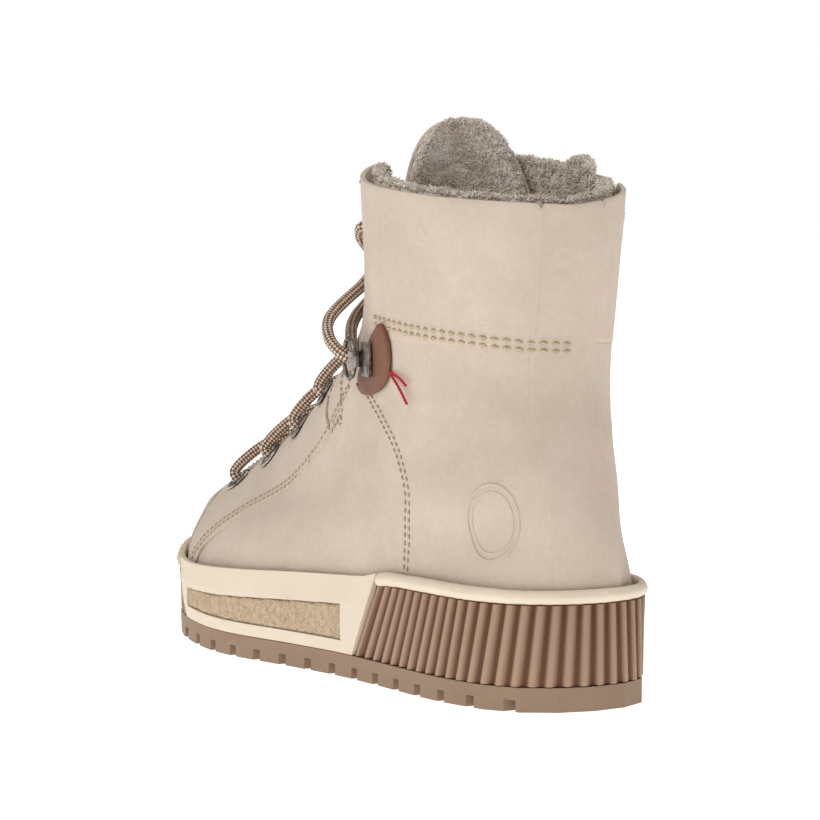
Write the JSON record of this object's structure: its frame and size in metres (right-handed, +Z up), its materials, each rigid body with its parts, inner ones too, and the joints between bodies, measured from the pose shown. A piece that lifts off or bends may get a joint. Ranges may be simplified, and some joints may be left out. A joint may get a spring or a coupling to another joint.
{
  "type": "lace-up ankle boot",
  "caption": "Left lace-up ankle boot with a fleece lining, an inner side zip, lace rings at the ankle and a ribbed cup sole.",
  "frame": {"origin": "on the ground under the middle of the outsole", "axes": "+Z up, toe towards -Y, outer side of the foot towards +X"},
  "size_m": [0.0962, 0.2814, 0.197],
  "materials": {
    "nubuck": "matte beige nubuck",
    "fleece": "heather fleece",
    "cream_rubber": "satin cream",
    "rib_rubber": "satin taupe",
    "outsole_rubber": "satin brown",
    "strip_weave": "rough suede",
    "board": "fibre board",
    "steel": "plain",
    "old_silver": "antique",
    "cognac": "smooth brown",
    "lace": "two-tone braid",
    "aglet": "plain",
    "zip_tape": "woven tape",
    "red_thread": "waxed thread"
  },
  "bodies": {
    "boot": {"back_strip": "nubuck", "clip_inner": "old_silver", "clip_outer": "old_silver", "collar_inner_front": "nubuck", "collar_inner_rear": "nubuck", "collar_outer": "nubuck", "cork_strip_inner": "strip_weave", "cork_strip_outer": "strip_weave", "eyelet_inner_1": "old_silver", "eyelet_inner_2": "old_silver", "eyelet_inner_3": "old_silver", "eyelet_inner_4": "old_silver", "eyelet_inner_5": "old_silver", "eyelet_outer_1": "old_silver", "eyelet_outer_2": "old_silver", "eyelet_outer_3": "old_silver", "eyelet_outer_4": "old_silver", "eyelet_outer_5": "old_silver", "facing_inner": "nubuck", "facing_outer": "nubuck", "footbed": "fleece", "heel_counter": "board", "heel_rib_wrap": "rib_rubber", "heel_rim": "cream_rubber", "insole_board": "board", "lace_inner": "lace", "lace_outer": "lace", "lace_tip_inner": "aglet", "lace_tip_outer": "aglet", "lining_inner_front": "fleece", "lining_inner_rear": "fleece", "lining_outer": "fleece", "lining_vamp": "fleece", "midsole_core": "cream_rubber", "outsole": "outsole_rubber", "patch_inner": "cognac", "patch_outer": "cognac", "quarter_heel_inner": "nubuck", "quarter_heel_outer": "nubuck", "quarter_middle_inner": "nubuck", "quarter_middle_outer": "nubuck", "shank": "steel", "side_wall_inner": "cream_rubber", "side_wall_outer": "cream_rubber", "toe_puff": "board", "toe_rib_bumper": "rib_rubber", "toe_rim": "cream_rubber", "vamp": "nubuck", "zip_guard": "fleece", "zip_stop": "old_silver", "zip_tape_front": "zip_tape", "zip_tape_rear": "zip_tape", "zip_teeth_front": "old_silver", "zip_teeth_rear": "old_silver"},
    "tongue": {"tongue": "nubuck"},
    "zip_slider": {"zip_slider": "old_silver"},
    "zip_pull": {"zip_pull_tab": "old_silver"},
    "ring_outer": {"lace_ring_outer": "old_silver"},
    "ring_inner": {"lace_ring_inner": "old_silver"}
  },
  "joints": [
    {"name": "tongue_lean", "type": "hinge", "parent": "boot", "child": "tongue", "pos_m": [0, -0.091, 0.056], "axis": [-1, 0, 0], "range_deg": [0, 5]},
    {"name": "zip_travel", "type": "slide", "parent": "boot", "child": "zip_slider", "axis": [0.0386, -0.1929, -0.9805], "range_m": [0, 0.1]},
    {"name": "zip_tab_swing", "type": "hinge", "parent": "zip_slider", "child": "zip_pull", "pos_m": [-0.03958, 0.08811, 0.16345], "axis": [0.0716, 0.9792, -0.1898], "range_deg": [0, 140]},
    {"name": "ring_outer_swing", "type": "hinge", "parent": "boot", "child": "ring_outer", "pos_m": [0.0369, 0.03787, 0.11291], "axis": [0.016, -0.002, 0.9999], "range_deg": [-3, 3]},
    {"name": "ring_inner_swing", "type": "hinge", "parent": "boot", "child": "ring_inner", "pos_m": [-0.03818, 0.03785, 0.11307], "axis": [0.013, 0.002, 0.9999], "range_deg": [-3, 3]}
  ]
}
